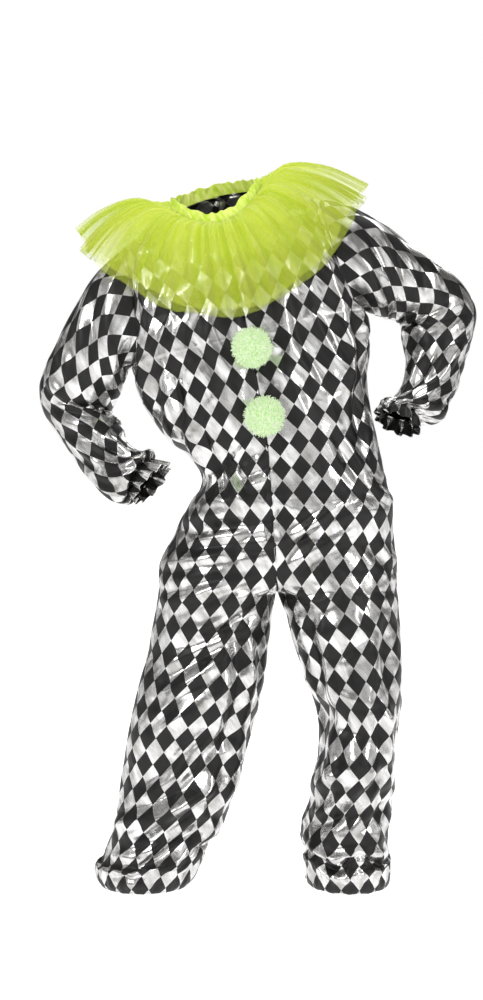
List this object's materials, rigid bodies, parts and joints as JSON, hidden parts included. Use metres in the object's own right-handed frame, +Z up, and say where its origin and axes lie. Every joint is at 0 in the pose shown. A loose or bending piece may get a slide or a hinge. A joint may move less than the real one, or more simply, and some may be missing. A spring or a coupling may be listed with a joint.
{
  "type": "clown costume",
  "caption": "Loose one-piece harlequin clown suit with gathered sleeve and leg ends, a wide ruffled net collar and fluffy pompoms down the front.",
  "frame": {"origin": "middle of the neck at the height of the shoulder seams, where the wearer's shoulders carry the costume", "axes": "+Z up along the standing wearer, +Y towards the wearer's back, +X towards the wearer's left"},
  "size_m": [0.8838, 0.3553, 1.4485],
  "materials": {
    "harlequin": "black and silver foil diamonds, satin",
    "net": "yellow-green net, see-through",
    "band": "yellow-green satin, crinkled",
    "pompom": "light green yarn, fluffy"
  },
  "bodies": {
    "root": {"front_left": "harlequin", "front_right": "harlequin", "back_left": "harlequin", "back_right": "harlequin", "sleeve_left": "harlequin", "sleeve_right": "harlequin", "cuff_left": "harlequin", "cuff_right": "harlequin", "hem_left": "harlequin", "hem_right": "harlequin", "collar_upper": "net", "collar_lower": "net", "neck_band": "band", "pompom_upper": "pompom", "pompom_lower": "pompom"}
  },
  "joints": []
}
